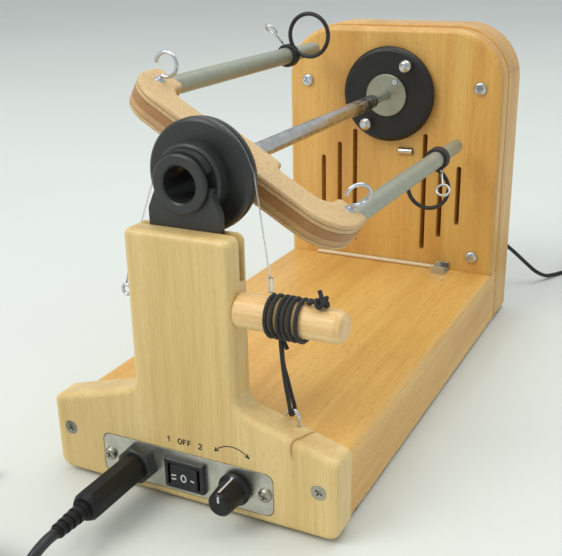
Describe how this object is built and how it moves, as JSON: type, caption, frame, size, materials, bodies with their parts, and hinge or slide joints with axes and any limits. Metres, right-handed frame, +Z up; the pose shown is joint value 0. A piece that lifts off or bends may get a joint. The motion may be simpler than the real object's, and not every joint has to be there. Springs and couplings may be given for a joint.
{
  "type": "electric yarn spinner",
  "caption": "Table-top electric spinner: a motor-driven disc with two pins turns the bobbin while a braked plywood flyer with sliding guides lays the yarn.",
  "frame": {"origin": "on the table under the middle of the spinner's box, leads left out", "axes": "+X to the right seen from the orifice, +Y from the orifice to the drive end, +Z up"},
  "size_m": [0.2691, 0.5623, 0.2008],
  "materials": {
    "pale_beech": "clear satin lacquer on pale beech",
    "honey_wood": "clear satin lacquer on honey-coloured beech",
    "peg_wood": "turned and lacquered",
    "plywood": "lacquered birch plywood with dark glue lines on its edges",
    "black_plastic": "smooth black plastic, slight sheen",
    "disc_plastic": "matte black plastic",
    "switch_plastic": "moulded black plastic, fine texture",
    "knob_plastic": "moulded black plastic with a pale pointer line",
    "plug_plastic": "moulded black plastic",
    "lead_plastic": "soft black insulation",
    "black_rubber": "matte black rubber",
    "zinc": "bright zinc plating, bluish",
    "bright_steel": "bright drawn wire and rod",
    "plain_steel": "turned grey steel",
    "matte_aluminium": "bead-blasted, matte",
    "satin_aluminium": "satin, brushed along its length",
    "board_green": "solder mask",
    "black_cord": "braided black cord",
    "clear_nylon": "translucent nylon",
    "hook_rod": "pale rod"
  },
  "bodies": {
    "base": {"front_upright": "pale_beech", "base_block": "pale_beech", "rear_housing": "honey_wood", "rear_panel": "honey_wood", "bottom_cover": "plywood", "rubber_feet": "black_rubber", "case_screws": "zinc", "panel_screws": "zinc", "control_plate": "satin_aluminium", "jack_socket": "black_plastic", "jack_nut": "black_plastic", "rocker_body": "switch_plastic", "speed_pot": "plain_steel", "circuit_board": "board_green", "dc_inlet": "black_plastic", "bearing_bracket": "black_plastic", "drive_bearings": "bright_steel", "drive_belt": "black_rubber", "motor_mount": "satin_aluminium", "motor_stator": "plain_steel", "brake_line": "clear_nylon", "line_anchor": "zinc", "tension_strands": "black_cord", "screw_hook": "bright_steel", "threading_hook": "hook_rod", "hook_clip": "zinc", "panel_pin": "bright_steel", "pedal_cord": "lead_plastic", "pedal_coil": "lead_plastic", "pedal_plug": "plug_plastic", "pedal_connector": "plug_plastic", "power_cord": "lead_plastic", "power_coil": "lead_plastic", "power_plug": "plug_plastic", "power_adapter": "plug_plastic"},
    "flyer": {"orifice_sleeve": "black_plastic", "flyer_whorl": "black_plastic", "flyer_bar": "plywood", "arm_tubes": "matte_aluminium", "arm_ends": "matte_aluminium", "flyer_hooks": "zinc", "flyer_shaft": "bright_steel"},
    "left_guide": {"guide_left": "black_rubber", "eyelet_left": "bright_steel"},
    "right_guide": {"guide_right": "black_rubber", "eyelet_right": "bright_steel"},
    "drive": {"drive_disc": "disc_plastic", "drive_hub": "plain_steel", "drive_pins": "bright_steel", "hub_set_screw": "zinc", "drive_shaft": "bright_steel", "driven_pulley": "black_plastic"},
    "motor": {"motor_bell": "plain_steel", "motor_pulley": "satin_aluminium"},
    "peg": {"tension_peg": "peg_wood", "peg_winding": "black_cord", "cord_knot": "black_cord"},
    "paddle": {"rocker_paddle": "switch_plastic"},
    "knob": {"speed_knob": "knob_plastic", "pot_shaft": "plain_steel"}
  },
  "joints": [
    {"name": "flyer_spin", "type": "hinge", "parent": "base", "child": "flyer", "pos_m": [0, -0.119, 0.1482], "axis": [0, 1, 0], "continuous": true},
    {"name": "drive_spin", "type": "hinge", "parent": "base", "child": "drive", "pos_m": [0, 0.116, 0.1482], "axis": [0, 1, 0], "continuous": true},
    {"name": "motor_spin", "type": "hinge", "parent": "base", "child": "motor", "pos_m": [0, 0.133, 0.0862], "axis": [0, 1, 0], "continuous": true},
    {"name": "left_guide_slide", "type": "slide", "parent": "flyer", "child": "left_guide", "axis": [0, 1, 0], "range_m": [-0.105, 0]},
    {"name": "right_guide_slide", "type": "slide", "parent": "flyer", "child": "right_guide", "axis": [0, 1, 0], "range_m": [-0.105, 0]},
    {"name": "peg_turn", "type": "hinge", "parent": "base", "child": "peg", "pos_m": [0.04, -0.1315, 0.098], "axis": [1, 0, 0], "range_deg": [-180, 180]},
    {"name": "rocker_tilt", "type": "hinge", "parent": "base", "child": "paddle", "pos_m": [-0.0005, -0.138, 0.0164], "axis": [0, 0, 1], "range_deg": [-12, 12]},
    {"name": "knob_turn", "type": "hinge", "parent": "base", "child": "knob", "pos_m": [0.0253, -0.144, 0.017], "axis": [0, 1, 0], "range_deg": [-140, 140]}
  ],
  "couplings": [
    {"joint": "motor_spin", "follows": "drive_spin", "ratio": 3}
  ]
}
